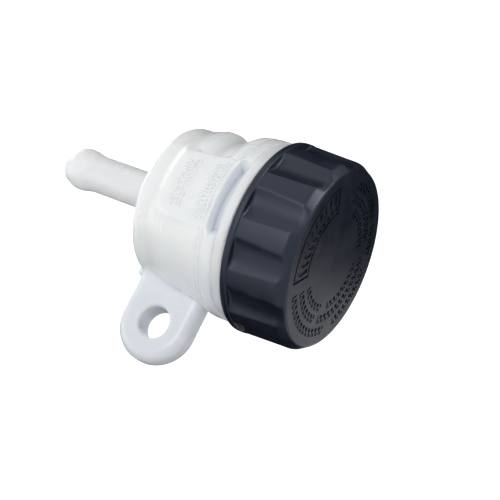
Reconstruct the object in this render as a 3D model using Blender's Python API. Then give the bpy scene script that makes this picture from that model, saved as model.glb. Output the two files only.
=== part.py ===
"""Brake fluid reservoir: a moulded vessel with a bolt ear and a hose nipple, under a screw cap.

The cap's flat top is the XY plane and the reservoir's axis is Z, so the vessel hangs below the
origin. The ear points to +X and the level pad faces -Y. All sizes are in metres.
"""
import bpy
import bmesh
from math import acos, cos, pi, radians, sin, sqrt, tan, tau
from mathutils import Vector

# Clearances shared by the pieces
RUN_GAP = 0.0003          # between pieces that touch or turn in one another
BORE_GAP = 0.0004         # round the bellows, inside the neck

# Neck and vessel
NECK_RADIUS = 0.0162      # root of the thread
NECK_WALL = 0.0022
VESSEL_WALL = 0.0020      # at the waist
VESSEL_DEPTH = 0.0209     # collar's top to the vessel's bottom
FLOOR_WALL = 0.0022
FLOOR_FALL = 0.0012       # slope of the inside floor towards the outlet
RIM_ROUND = 0.0005

# Collar under the cap, with its two fine steps
COLLAR_WIDTH = 0.0024
COLLAR_BAND = 0.0029
STEP_HEIGHT = 0.0011
STEP_DEPTH = 0.00025
WAIST_START = 0.0088      # collar's top to the waist
FLARE_ROUND = 0.0040

# Ring round the vessel, and the lower wall
RING_START = 0.0118       # collar's top to the ring
RING_HEIGHT = 0.0034
RING_PROUD = 0.0007
RING_ROUND = 0.0007
RING_SLOPE = 0.0008
LOWER_PROUD = 0.0004      # lower wall beyond the waist
BOTTOM_ROUND = 0.0017

# Level pad, and the slot above it
PAD_ANGLE = 49.0
PAD_TOP_PROUD = 0.0023    # beyond the waist
PAD_FOOT_PROUD = 0.0013
PAD_FOOT = 0.0150         # collar's top to the pad's lower end
PAD_ROUND = 0.0012
SLOT_DEPTH = 0.0023       # collar's top to the slot's floor
SLOT_BITE = 0.0005        # how far the slot goes into the neck
SLOT_HEAD = 0.0007        # how far it runs up the neck

# Hose nipple
NIPPLE_BORE = 0.0025      # radius
NIPPLE_WALL = 0.00145
NIPPLE_LENGTH = 0.0275
NIPPLE_ROUND = 0.0010
BARB_PROUD = 0.00055
BARB_TAIL = 0.0068        # tip to where the barb starts to swell
BARB_BACK = 0.0044        # tip to the barb's full width
BARB_LAND = 0.0017
TIP_INSET = 0.0007
TIP_ROUND = 0.0004

# Ear with its bolt hole
EAR_REACH = 0.0248        # axis to the hole
EAR_DROP = 0.0117         # collar's top to the hole
EAR_RADIUS = 0.0079
EAR_THICKNESS = 0.0056
EAR_ROUND = 0.0020
BOLT_HOLE = 0.0033        # radius
HOLE_ROUND = 0.0006
ROOT_FILLET = 0.0032
HEEL_DROP = 0.0003        # heel below the vessel's bottom
HEEL_REACH = 0.0173
HEEL_WIDTH = 0.0032

# Cap
CAP_HEIGHT = 0.0135
CAP_TO_COLLAR = 0.0028    # open gap between the skirt and the collar
CAP_CROWN = 0.0022
CAP_WALL = 0.00105        # behind a flute
CAP_DRAFT = 0.0004        # how much wider the ridges are at the flutes' foot
CHAMFER_HEIGHT = 0.00165
CHAMFER_WIDTH = 0.00108
FLUTES = 12
FLUTE_DEPTH = 0.00088     # at the top of the ridges
FLUTE_CURVE = 0.0054      # radius of a flute's hollow
SKIRT_BAND = 0.0015       # plain band below the flutes
BAND_PROUD = 0.00015
BAND_EDGE = 0.0003
LEAD_IN = 0.0004
RETAINER_HEIGHT = 0.0008  # ring inside the cap that keeps the plate in
RETAINER_HOLD = 0.0002    # how far the plate's edge reaches over it

# Plate between the cap and the diaphragm
PLATE_THICKNESS = 0.0012
PLATE_EDGE = 0.0003
VENT_HOLE = 0.0015        # radius
VENT_NOTCHES = 4
NOTCH_LENGTH = 0.0015
NOTCH_WIDTH = 0.0016

# Diaphragm
BEAD_HEIGHT = 0.0018
BEAD_INSET = 0.0002       # bead's edge inside the neck's edge
BEAD_ROUND = 0.0006
RUBBER = 0.0010           # thickness
FOLD_WIDTH = 0.0030
FOLD_DEPTH = 0.0074       # below the bead
FLOOR_RISE = 0.0027       # centre above the fold
FOLD_ROUND = 0.0009

# Facets
TURNED_STEPS = 56
RUBBER_STEPS = 32
FINE_FILLET = 0.0010      # up to this size a fillet's arc has fewer facets
FINE_STEPS = 2
ARC_STEPS = 4
EAR_STEPS = 18
FLARE_STEPS = 5
EDGE_STEPS = 4
FLUTE_STEPS = 8
RIDGE_STEPS = 3

# Heights worked out from the sizes, down from the cap's flat top
PLATE_Z = -(CAP_CROWN + RUN_GAP + PLATE_THICKNESS)
BEAD_Z = PLATE_Z - RUN_GAP - BEAD_HEIGHT
NECK_RIM_Z = BEAD_Z - RUN_GAP
COLLAR_Z = -(CAP_HEIGHT + CAP_TO_COLLAR)

# Radii worked out from the neck
CAVITY_RADIUS = NECK_RADIUS - NECK_WALL
COLLAR_RADIUS = NECK_RADIUS + COLLAR_WIDTH
WAIST_RADIUS = CAVITY_RADIUS + VESSEL_WALL
SHAFT_RADIUS = NIPPLE_BORE + NIPPLE_WALL
RETAINER_RADIUS = NECK_RADIUS + RUN_GAP
PLATE_RADIUS = RETAINER_RADIUS + RETAINER_HOLD
CAP_BORE = PLATE_RADIUS + RUN_GAP
FLUTE_FLOOR = CAP_BORE + CAP_WALL
RIDGE_RADIUS = FLUTE_FLOOR + FLUTE_DEPTH


def clear_scene():
    """Start from an empty scene."""
    for item in list(bpy.data.objects):
        bpy.data.objects.remove(item, do_unlink=True)


def material(name, colour, roughness, alpha=1.0):
    """A plain plastic or rubber finish."""
    made = bpy.data.materials.new(name)
    made.use_nodes = True
    shader = made.node_tree.nodes["Principled BSDF"]
    shader.inputs["Base Color"].default_value = (*colour, 1.0)
    shader.inputs["Roughness"].default_value = roughness
    shader.inputs["Metallic"].default_value = 0.0
    shader.inputs["Alpha"].default_value = alpha
    return made


def add_object(name, bm, parent, location=(0.0, 0.0, 0.0), finish=None):
    """Turn a bmesh into an object that hangs on its parent."""
    bmesh.ops.recalc_face_normals(bm, faces=bm.faces)
    mesh = bpy.data.meshes.new(name)
    bm.to_mesh(mesh)
    bm.free()
    mesh.shade_smooth()
    mesh.set_sharp_from_angle(angle=radians(32))
    made = bpy.data.objects.new(name, mesh)
    bpy.context.collection.objects.link(made)
    made.parent = parent
    made.location = location
    if finish:
        mesh.materials.append(finish)
    return made


def rounded(corners, closed):
    """Outline through corners (radius, height, fillet), with an arc at each fillet."""
    count = len(corners)
    outline = []
    for index, (r, z, fillet) in enumerate(corners):
        here = Vector((r, z))
        if fillet <= 0.0 or (not closed and index in (0, count - 1)):
            outline.append(here)
            continue
        before = Vector(corners[index - 1][:2]) - here
        after = Vector(corners[(index + 1) % count][:2]) - here
        half = before.angle(after) / 2
        reach = min(fillet / tan(half), 0.49 * before.length, 0.49 * after.length)
        radius = reach * tan(half)
        inward = (before.normalized() + after.normalized()).normalized()
        centre = here + inward * (radius / sin(half))
        start = here + before.normalized() * reach - centre
        turn = start.angle_signed(here + after.normalized() * reach - centre)
        steps = FINE_STEPS if fillet <= FINE_FILLET else ARC_STEPS
        for step in range(steps + 1):
            bent = -turn * step / steps
            spun = Vector((start.x * cos(bent) - start.y * sin(bent),
                           start.x * sin(bent) + start.y * cos(bent)))
            outline.append(centre + spun)
    return outline


def turned(outline, closed, sweep=tau, start=0.0, steps=TURNED_STEPS):
    """Spin an outline (radius, height) about Z; a part turn gets its two end faces."""
    bm = bmesh.new()
    points = [Vector((p.x * cos(start), p.x * sin(start), p.y)) for p in outline]
    verts = [bm.verts.new(p) for p in points]
    edges = [bm.edges.new(pair) for pair in zip(verts, verts[1:])]
    if closed:
        edges.append(bm.edges.new((verts[-1], verts[0])))
    if sweep < tau:
        bm.faces.new(verts)
    bmesh.ops.spin(bm, geom=verts + edges, cent=(0, 0, 0), axis=(0, 0, 1), angle=sweep, steps=steps)
    bmesh.ops.remove_doubles(bm, verts=bm.verts, dist=1e-7)
    if sweep < tau:
        bmesh.ops.holes_fill(bm, edges=[e for e in bm.edges if e.is_boundary], sides=0)
    return bm


def extruded(outline, axis, low, high):
    """Push a flat outline along one axis from low to high."""
    bm = bmesh.new()
    base = []
    for a, b in outline:
        point = [a, b]
        point.insert(axis, low)
        base.append(bm.verts.new(point))
    face = bm.faces.new(base)
    grown = bmesh.ops.extrude_face_region(bm, geom=[face])["geom"]
    shift = Vector((0, 0, 0))
    shift[axis] = high - low
    bmesh.ops.translate(bm, verts=[v for v in grown if isinstance(v, bmesh.types.BMVert)], vec=shift)
    return bm


def bevelled(thing, width, segments=3):
    """Round the sharp edges of a piece."""
    bevel = thing.modifiers.new("Rounded edges", "BEVEL")
    bevel.width = width
    bevel.segments = segments
    bevel.limit_method = "ANGLE"
    bevel.angle_limit = radians(50)
    return thing


def combine(target, tool, operation):
    """Add a shape to a piece or cut it out, and keep the tool out of the model."""
    boolean = target.modifiers.new(tool.name, "BOOLEAN")
    boolean.operation = operation
    boolean.object = tool
    boolean.solver = "EXACT"
    tool.hide_render = True
    tool.display_type = "WIRE"


def vessel_outline():
    """Section of the vessel and nipple, from the neck's rim down outside and up inside."""
    rim = NECK_RIM_Z - COLLAR_Z
    lower = WAIST_RADIUS + LOWER_PROUD
    ring = WAIST_RADIUS + RING_PROUD
    ring_end = RING_START + RING_HEIGHT
    bottom = -VESSEL_DEPTH
    tip = bottom - NIPPLE_LENGTH
    barb = SHAFT_RADIUS + BARB_PROUD
    step_1 = COLLAR_RADIUS - STEP_DEPTH
    step_2 = step_1 - STEP_DEPTH
    floor = bottom + FLOOR_WALL
    return rounded([
        (NECK_RADIUS, rim, RIM_ROUND),
        (NECK_RADIUS, 0.0, RIM_ROUND),
        (COLLAR_RADIUS, 0.0, RIM_ROUND),
        (COLLAR_RADIUS, -COLLAR_BAND, 0.0),
        (step_1, -COLLAR_BAND, 0.0),
        (step_1, -COLLAR_BAND - STEP_HEIGHT, 0.0),
        (step_2, -COLLAR_BAND - STEP_HEIGHT, 0.0),
        (step_2, -COLLAR_BAND - 1.5 * STEP_HEIGHT, RING_ROUND),
        (WAIST_RADIUS, -WAIST_START, FLARE_ROUND),
        (WAIST_RADIUS, -RING_START + RING_SLOPE / 2, RING_ROUND),
        (ring, -RING_START - RING_SLOPE / 2, RING_ROUND),
        (ring, -ring_end + RING_SLOPE / 2, RING_ROUND),
        (lower, -ring_end - RING_SLOPE / 2, RING_ROUND),
        (lower, bottom, BOTTOM_ROUND),
        (SHAFT_RADIUS, bottom, NIPPLE_ROUND),
        (SHAFT_RADIUS, tip + BARB_TAIL, NIPPLE_ROUND),
        (barb, tip + BARB_BACK, NIPPLE_ROUND),
        (barb, tip + BARB_BACK - BARB_LAND, NIPPLE_ROUND),
        (SHAFT_RADIUS - TIP_INSET, tip, TIP_ROUND),
        (NIPPLE_BORE, tip, 0.0),
        (NIPPLE_BORE, floor, RIM_ROUND),
        (CAVITY_RADIUS, floor + FLOOR_FALL, BOTTOM_ROUND),
        (CAVITY_RADIUS, rim, RIM_ROUND),
    ], closed=True)


def level_pad(parent):
    """Raised sector that bridges the waist, facing -Y."""
    inner = CAVITY_RADIUS + VESSEL_WALL / 2
    head = -SLOT_DEPTH + RUN_GAP
    outline = rounded([
        (inner, head, 0.0),
        (WAIST_RADIUS + PAD_TOP_PROUD, head, 0.0),
        (WAIST_RADIUS + PAD_FOOT_PROUD, -PAD_FOOT, PAD_ROUND),
        (inner, -PAD_FOOT - RING_SLOPE, 0.0),
    ], closed=True)
    sweep = radians(PAD_ANGLE)
    bm = turned(outline, True, sweep, -pi / 2 - sweep / 2, steps=12)
    return add_object("level_pad", bm, parent)


def slot_cutter(parent):
    """What is cut out of the collar above the level pad."""
    inner = NECK_RADIUS - SLOT_BITE
    outer = COLLAR_RADIUS + COLLAR_WIDTH
    outline = rounded([
        (outer, SLOT_HEAD, 0.0),
        (outer, -SLOT_DEPTH, 0.0),
        (inner, -SLOT_DEPTH, 0.0),
        (inner, SLOT_HEAD - SLOT_BITE, 0.0),
        (inner + SLOT_BITE, SLOT_HEAD, 0.0),
    ], closed=True)
    sweep = radians(PAD_ANGLE)
    bm = turned(outline, True, sweep, -pi / 2 - sweep / 2, steps=12)
    return add_object("slot_cutter", bm, parent)


def ear_half_thickness(x):
    """Half the ear's thickness at a distance from the axis: it flares into the round wall."""
    face = EAR_THICKNESS / 2
    back = flare_start() - x
    if back <= 0.0:
        return face
    return face + ROOT_FILLET - sqrt(max(ROOT_FILLET ** 2 - back ** 2, 0.0))


def flare_start():
    """Distance from the axis at which the fillets leave the ear's flat faces."""
    return sqrt((WAIST_RADIUS + ROOT_FILLET) ** 2 - (EAR_THICKNESS / 2 + ROOT_FILLET) ** 2)


def ear_outline():
    """Points (x, z, outward x, outward z) along the ear's edge, lower root to upper root."""
    flare = flare_start()
    foot = flare * WAIST_RADIUS / (WAIST_RADIUS + ROOT_FILLET)
    root = CAVITY_RADIUS + VESSEL_WALL / 2
    stations = [root] + [foot + (flare - foot) * step / FLARE_STEPS for step in range(FLARE_STEPS + 1)]
    lower = [(x, -EAR_DROP - EAR_RADIUS, 0.0, -1.0) for x in stations]
    upper = [(x, -EAR_DROP + EAR_RADIUS, 0.0, 1.0) for x in reversed(stations)]
    end = []
    for step in range(EAR_STEPS + 1):
        angle = -pi / 2 + pi * step / EAR_STEPS
        end.append((EAR_REACH + EAR_RADIUS * cos(angle), -EAR_DROP + EAR_RADIUS * sin(angle),
                    cos(angle), sin(angle)))
    return lower + end + upper, len(stations)


def ear_plate(parent):
    """Ear with a round end and rounded edges, flared into the vessel's wall at its root."""
    outline, straight = ear_outline()
    limit = min(EAR_ROUND, 0.45 * EAR_THICKNESS, 0.45 * EAR_RADIUS)
    bm = bmesh.new()
    loops = []
    for x, z, out_x, out_z in outline:
        half = ear_half_thickness(x)
        loop = []
        for side in (-1, 1):
            for step in range(EDGE_STEPS + 1):
                angle = pi / 2 * (step if side < 0 else EDGE_STEPS - step) / EDGE_STEPS
                inset = limit * (1 - sin(angle))
                y = side * (half - limit * (1 - cos(angle)))
                loop.append(bm.verts.new((x - out_x * inset, y, z - out_z * inset)))
        loops.append(loop)
    for one, two in zip(loops, loops[1:]):
        for a, b, c, d in zip(one, two, two[1:], one[1:]):
            bm.faces.new((a, b, c, d))
    bm.faces.new(loops[0] + loops[-1][::-1])
    for side in (0, -1):
        for step in range(straight - 1):
            lower, upper = loops[step], loops[-1 - step]
            next_lower, next_upper = loops[step + 1], loops[-2 - step]
            bm.faces.new((lower[side], next_lower[side], next_upper[side], upper[side]))
        bm.faces.new([loop[side] for loop in loops[straight - 1:len(loops) - straight + 1]])
    return add_object("ear_plate", bm, parent)


def ear_heel(parent):
    """Small heel where the ear's lower edge runs under the vessel's bottom corner."""
    inner = CAVITY_RADIUS + VESSEL_WALL / 2
    outline = [(inner, -VESSEL_DEPTH - HEEL_DROP), (HEEL_REACH, -VESSEL_DEPTH - HEEL_DROP),
               (HEEL_REACH, -EAR_DROP - EAR_RADIUS / 2), (inner, -EAR_DROP - EAR_RADIUS / 2)]
    bm = extruded(outline, 1, -HEEL_WIDTH / 2, HEEL_WIDTH / 2)
    return bevelled(add_object("ear_heel", bm, parent), HEEL_WIDTH / 4)


def bolt_hole(parent):
    """Spool that cuts the bolt hole and rounds both its rims."""
    face = EAR_THICKNESS / 2
    far = face + HOLE_ROUND
    wide = BOLT_HOLE + HOLE_ROUND
    half = [(BOLT_HOLE, 0.0)]
    for step in range(5):
        angle = pi / 2 * step / 4
        half.append((wide - HOLE_ROUND * cos(angle), face - HOLE_ROUND + HOLE_ROUND * sin(angle)))
    half += [(wide, far), (0.0, far)]
    outline = [Vector((r, -z)) for r, z in reversed(half[1:])] + [Vector(p) for p in half[1:]]
    bm = turned(outline, False, steps=32)
    hole = add_object("bolt_hole_cutter", bm, parent, (EAR_REACH, 0.0, -EAR_DROP))
    hole.rotation_euler = (pi / 2, 0.0, 0.0)
    return hole


def make_body(parent, finish):
    """The vessel, collar, neck, ear, level pad and nipple, moulded in one."""
    bm = turned(vessel_outline(), True)
    body = add_object("reservoir_body", bm, parent, (0.0, 0.0, COLLAR_Z), finish)
    for shape in (level_pad, ear_plate, ear_heel):
        combine(body, shape(body), "UNION")
    for shape in (slot_cutter, bolt_hole):
        combine(body, shape(body), "DIFFERENCE")
    return body


def flute_half_angle(radius):
    """Half the angle that a flute takes up where the cap has this radius."""
    centre = FLUTE_FLOOR + FLUTE_CURVE
    return acos((centre ** 2 + radius ** 2 - FLUTE_CURVE ** 2) / (2 * centre * radius))


def flute_radius(angle):
    """Radius of a flute's floor at an angle from its middle."""
    centre = FLUTE_FLOOR + FLUTE_CURVE
    return centre * cos(angle) - sqrt(max(FLUTE_CURVE ** 2 - (centre * sin(angle)) ** 2, 0.0))


def cap_angles(radius):
    """Angles round the cap and, for each, the angle from its flute's middle (None on a ridge)."""
    half = flute_half_angle(radius)
    pitch = tau / FLUTES
    marks = []
    for flute in range(FLUTES):
        for step in range(FLUTE_STEPS + 1):
            offset = half * (2 * step / FLUTE_STEPS - 1)
            marks.append((flute * pitch + offset, offset))
        for step in range(1, RIDGE_STEPS):
            marks.append((flute * pitch + half + (pitch - 2 * half) * step / RIDGE_STEPS, None))
    return marks


def fluted_row(ridge, height, chamfered):
    """Row of points round the cap where its wall has this ridge radius."""
    row = []
    for angle, offset in cap_angles(ridge):
        radius = ridge if offset is None else min(flute_radius(offset), ridge)
        z = height
        if chamfered:
            z = -CHAMFER_HEIGHT * (1 - (ridge - radius) / CHAMFER_WIDTH)
        row.append(Vector((radius * cos(angle), radius * sin(angle), z)))
    return row


def round_row(radius, height, like):
    """Row of points on a plain circle, at the angles of the fluted wall."""
    return [Vector((radius * cos(a), radius * sin(a), height)) for a, _ in cap_angles(like)]


def make_cap(parent, finish):
    """Screw cap: flat crown, chamfer, fluted wall, plain band, and a plain bore with its ring."""
    foot_z = -CAP_HEIGHT + SKIRT_BAND
    foot = RIDGE_RADIUS + CAP_DRAFT
    band = foot + BAND_PROUD
    ring_z = PLATE_Z - RUN_GAP
    ring_low = ring_z - RETAINER_HEIGHT
    slope = CAP_BORE - RETAINER_RADIUS
    rows = [
        round_row(RIDGE_RADIUS - CHAMFER_WIDTH, 0.0, RIDGE_RADIUS),
        fluted_row(RIDGE_RADIUS, -CHAMFER_HEIGHT, True),
        fluted_row(foot, foot_z, False),
        round_row(band, foot_z, foot),
        round_row(band, -CAP_HEIGHT + BAND_EDGE, foot),
        round_row(band - BAND_EDGE, -CAP_HEIGHT, foot),
        round_row(CAP_BORE + LEAD_IN, -CAP_HEIGHT, foot),
        round_row(CAP_BORE, -CAP_HEIGHT + LEAD_IN, foot),
        round_row(CAP_BORE, ring_low - slope, RIDGE_RADIUS),
        round_row(RETAINER_RADIUS, ring_low, RIDGE_RADIUS),
        round_row(RETAINER_RADIUS, ring_z, RIDGE_RADIUS),
        round_row(CAP_BORE, ring_z, RIDGE_RADIUS),
        round_row(CAP_BORE, -CAP_CROWN, RIDGE_RADIUS),
    ]
    bm = bmesh.new()
    rings = [[bm.verts.new(p) for p in row] for row in rows]
    count = len(rings[0])
    for upper, lower in zip(rings, rings[1:]):
        for i in range(count):
            j = (i + 1) % count
            bm.faces.new((upper[i], lower[i], lower[j], upper[j]))
    bm.faces.new(rings[0])
    bm.faces.new(list(reversed(rings[-1])))
    return add_object("cap", bm, parent, (0.0, 0.0, 0.0), finish)


def make_plate(parent, finish):
    """Plate under the cap's crown, with a vent hole and notches in its edge."""
    outline = rounded([
        (VENT_HOLE, PLATE_THICKNESS, 0.0),
        (VENT_HOLE, 0.0, 0.0),
        (PLATE_RADIUS, 0.0, PLATE_EDGE),
        (PLATE_RADIUS, PLATE_THICKNESS, PLATE_EDGE),
    ], closed=True)
    plate = add_object("diaphragm_plate", turned(outline, True), parent, (0.0, 0.0, PLATE_Z), finish)
    for index in range(VENT_NOTCHES):
        angle = tau * (index + 0.5) / VENT_NOTCHES
        inner = PLATE_RADIUS - NOTCH_LENGTH
        side = NOTCH_WIDTH / 2
        corners = [(inner, -side), (inner + 2 * NOTCH_LENGTH, -side),
                   (inner + 2 * NOTCH_LENGTH, side), (inner, side)]
        bm = extruded(corners, 2, -PLATE_THICKNESS, 2 * PLATE_THICKNESS)
        notch = add_object(f"vent_notch_cutter_{index + 1}", bm, plate)
        notch.rotation_euler = (0.0, 0.0, angle)
        combine(plate, notch, "DIFFERENCE")
    return plate


def make_diaphragm(parent, finish):
    """Rubber bellows: a bead on the neck's rim, one deep fold and a flat middle."""
    outer = CAVITY_RADIUS - BORE_GAP
    fold_out = outer - RUBBER
    fold_in = fold_out - FOLD_WIDTH
    middle = fold_in - RUBBER
    rim = NECK_RADIUS - BEAD_INSET
    trough = RUBBER - FOLD_DEPTH
    floor = trough + FLOOR_RISE
    outline = rounded([
        (0.0, floor, 0.0),
        (fold_in, floor, FOLD_ROUND),
        (fold_in, trough, FOLD_ROUND),
        (fold_out, trough, FOLD_ROUND),
        (fold_out, BEAD_HEIGHT, BEAD_ROUND),
        (rim, BEAD_HEIGHT, BEAD_ROUND),
        (rim, 0.0, BEAD_ROUND),
        (outer, 0.0, BEAD_ROUND / 2),
        (outer, -FOLD_DEPTH, FOLD_ROUND + RUBBER / 2),
        (middle, -FOLD_DEPTH, FOLD_ROUND),
        (middle, floor - RUBBER, FOLD_ROUND),
        (0.0, floor - RUBBER, 0.0),
    ], closed=False)
    bm = turned(outline, False, steps=RUBBER_STEPS)
    return add_object("diaphragm", bm, parent, (0.0, 0.0, BEAD_Z), finish)


def make_reservoir():
    """Put the pieces on the reservoir's axis."""
    clear_scene()
    axis = bpy.data.objects.new("reservoir_axis", None)
    bpy.context.collection.objects.link(axis)
    milky = material("milky_plastic", (0.80, 0.82, 0.85), 0.35, 0.85)
    black = material("black_plastic", (0.025, 0.027, 0.034), 0.45)
    natural = material("natural_plastic", (0.62, 0.62, 0.60), 0.40)
    rubber = material("black_rubber", (0.02, 0.02, 0.02), 0.60)
    make_body(axis, milky)
    make_diaphragm(axis, rubber)
    make_plate(axis, natural)
    make_cap(axis, black)


make_reservoir()
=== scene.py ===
from math import cos, pi, radians, sin, sqrt, tan, tau

import bmesh
import bpy
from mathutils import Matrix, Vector


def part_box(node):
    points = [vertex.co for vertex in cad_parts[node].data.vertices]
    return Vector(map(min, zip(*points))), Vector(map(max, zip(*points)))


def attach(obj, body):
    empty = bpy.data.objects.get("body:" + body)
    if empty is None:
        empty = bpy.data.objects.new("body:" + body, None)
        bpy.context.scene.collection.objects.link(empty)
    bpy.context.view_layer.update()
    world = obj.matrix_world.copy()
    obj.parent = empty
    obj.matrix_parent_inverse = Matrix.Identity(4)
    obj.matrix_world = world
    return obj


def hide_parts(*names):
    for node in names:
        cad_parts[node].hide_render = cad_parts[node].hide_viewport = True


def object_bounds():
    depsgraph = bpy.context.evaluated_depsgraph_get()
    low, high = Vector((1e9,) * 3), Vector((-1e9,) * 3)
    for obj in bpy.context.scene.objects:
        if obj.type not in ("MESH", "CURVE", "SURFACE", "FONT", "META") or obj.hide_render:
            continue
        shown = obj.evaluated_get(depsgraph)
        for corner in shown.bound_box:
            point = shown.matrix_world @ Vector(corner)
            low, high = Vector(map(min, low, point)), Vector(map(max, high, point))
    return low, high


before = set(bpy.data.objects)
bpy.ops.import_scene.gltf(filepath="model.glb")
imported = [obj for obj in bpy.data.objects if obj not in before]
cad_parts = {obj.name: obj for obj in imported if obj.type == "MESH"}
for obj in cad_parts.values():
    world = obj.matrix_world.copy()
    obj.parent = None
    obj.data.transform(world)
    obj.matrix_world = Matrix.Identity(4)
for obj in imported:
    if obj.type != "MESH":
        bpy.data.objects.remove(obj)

cad_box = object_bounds()

# Vessel with its collar, neck, level pad, ear and hose nipple
# One injection moulding in milky translucent polyethylene, about 2 mm thick. The mould parts
# along the plane of the ear, and a side slide forms the level pad and the slot above it.
body_low, body_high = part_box("reservoir_body")
cap_low, cap_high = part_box("cap")
collar_z = cap_low.z - 0.0028
neck_radius = 0.0162
neck_wall = 0.0022
collar_radius = body_high.y
step_radius = 0.0182
waist_radius = 0.0157
ring_radius = 0.01705
lower_radius = 0.01605
cavity_radius = neck_radius - neck_wall
vessel_bottom = -0.0209
nipple_tip = body_low.z - collar_z
neck_rim = body_high.z - collar_z
nipple_bore = 0.0025
shaft_radius = 0.00395
barb_radius = 0.0045


def pad_radius(height):
    """Radius of the level pad's face, which leans in from the slot down to the ring."""
    top, foot = 0.0186, 0.0173
    top_height, foot_height = -0.0023, -0.0150
    return top + (foot - top) * (top_height - height) / (top_height - foot_height)


def vessel_corners():
    """Matching corners (radius, height, fillet) of the plain wall and of the pad's sector.

    In the pad's sector, None stands for the radius of its leaning face at that height.
    """
    step_top, slot_foot = 0.0021, -0.0023
    slot_radius = neck_radius - 0.0005
    groove, ridge, foot = (collar_radius - depth for depth in (0.0006, 0.0001, 0.0003))
    shared = [
        (lower_radius, vessel_bottom, 0.0018, 8),
        (shaft_radius, vessel_bottom, 0.0011, 6),
        (shaft_radius, nipple_tip + 0.0068, 0.0090, 6),
        (barb_radius, nipple_tip + 0.0044, 0.0060, 6),
        (barb_radius, nipple_tip + 0.0025, 0.0026, 6),
        (shaft_radius - 0.0006, nipple_tip, 0.0007, 5),
        (nipple_bore, nipple_tip, 0.0004, 3),
        (nipple_bore, vessel_bottom + 0.0022, 0.0006, 3),
        (cavity_radius, vessel_bottom + 0.0034, 0.0018, 5),
        (cavity_radius, neck_rim, 0.0005, 4),
    ]
    split = [
        ((neck_radius, neck_rim, 0.0006), (neck_radius, neck_rim, 0.0006), 5),
        ((neck_radius, step_top, 0.0003), (neck_radius, step_top, 0.0003), 3),
        ((step_radius, step_top, 0.0004), (step_radius, step_top, 0.0004), 4),
        ((step_radius, 0.0, 0.0001), (step_radius, 0.0001, 0.0002), 3),
        ((collar_radius, 0.0, 0.0002), (slot_radius, 0.0, 0.0003), 4),
        ((collar_radius, -0.0012, 0.0), (slot_radius, slot_foot, 0.0003), 3),
        ((collar_radius, -0.0016, 0.0), (None, slot_foot, 0.0004), 3),
        ((collar_radius, -0.0024, 0.0001), (None, -0.0029, 0.0002), 2),
        ((groove, -0.0025, 0.0001), (None, -0.0031, 0.0001), 2),
        ((groove, -0.0028, 0.0001), (None, -0.0033, 0.0001), 2),
        ((ridge, -0.0029, 0.0001), (None, -0.0035, 0.0001), 2),
        ((ridge, -0.0033, 0.0001), (None, -0.0037, 0.0001), 2),
        ((groove, -0.0034, 0.0001), (None, -0.0039, 0.0001), 2),
        ((groove, -0.0037, 0.0001), (None, -0.0041, 0.0001), 2),
        ((foot, -0.0038, 0.0001), (None, -0.0043, 0.0001), 2),
        ((foot, -0.0046, 0.0012), (None, -0.0050, 0.0008), 5),
        ((waist_radius, -0.0089, 0.0020), (None, -0.0088, 0.0040), 8),
        ((waist_radius, -0.0104, 0.0010), (None, -0.0108, 0.0008), 5),
        ((ring_radius - 0.0001, -0.0123, 0.0005), (None, -0.0122, 0.0009), 4),
        ((ring_radius, -0.0134, 0.0015), (None, -0.0134, 0.0010), 4),
        ((ring_radius - 0.0004, -0.0149, 0.0020), (None, -0.0146, 0.0030), 6),
        ((lower_radius, -0.0169, 0.0030), (lower_radius, -0.0166, 0.0020), 6),
    ]
    plain = [(*here, steps) for here, _, steps in split]
    sector = [(pad_radius(z) if r is None else r, z, fillet, steps)
              for _, (r, z, fillet), steps in split]
    return plain + shared, sector + shared


def filleted(corners):
    """Closed outline through corners (radius, height, fillet, arc steps)."""
    outline = []
    for index, (r, z, fillet, steps) in enumerate(corners):
        here = Vector((r, z))
        if fillet <= 0.0:
            outline += [here] * (steps + 1)
            continue
        before = Vector(corners[index - 1][:2]) - here
        after = Vector(corners[(index + 1) % len(corners)][:2]) - here
        half = before.angle(after) / 2
        reach = min(fillet / tan(half), 0.48 * before.length, 0.48 * after.length)
        radius = reach * tan(half)
        inward = (before.normalized() + after.normalized()).normalized()
        centre = here + inward * (radius / sin(half))
        start = here + before.normalized() * reach - centre
        turn = start.angle_signed(here + after.normalized() * reach - centre, 0.0)
        for step in range(steps + 1):
            bent = -turn * step / steps
            outline.append(centre + Vector((start.x * cos(bent) - start.y * sin(bent),
                                            start.x * sin(bent) + start.y * cos(bent))))
    return outline


def close_rows(plain, special, longest):
    """Add points to both outlines wherever the plain one has a stretch longer than this."""
    rows = []
    for index, (here, there) in enumerate(zip(plain, special)):
        rows.append((here, there))
        next_here, next_there = plain[(index + 1) % len(plain)], special[(index + 1) % len(plain)]
        extra = int((next_here - here).length / longest)
        for step in range(1, extra + 1):
            share = step / (extra + 1)
            rows.append((here.lerp(next_here, share), there.lerp(next_there, share)))
    return rows


def pad_columns(edge, soft, coarse):
    """Angles round the vessel, close together where the pad's sides rise."""
    angles = [-pi / 2]
    angle = 0.0
    while angle < pi:
        near = abs(angle - edge) < 0.9 * soft
        angle += soft / 6 if near else min(coarse, max(soft / 5, 0.4 * abs(angle - edge)))
        if angle < pi:
            angles += [-pi / 2 + angle, -pi / 2 - angle]
    return sorted(angles + [pi / 2])


sharp_edge = radians(32.0)


def mesh_object(name, bm):
    """Turn a bmesh into an object, shaded smooth apart from its sharp edges."""
    mesh = bpy.data.meshes.new(name)
    bm.to_mesh(mesh)
    bm.free()
    mesh.shade_smooth()
    mesh.set_sharp_from_angle(angle=sharp_edge)
    made = bpy.data.objects.new(name, mesh)
    bpy.context.collection.objects.link(made)
    return made


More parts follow.
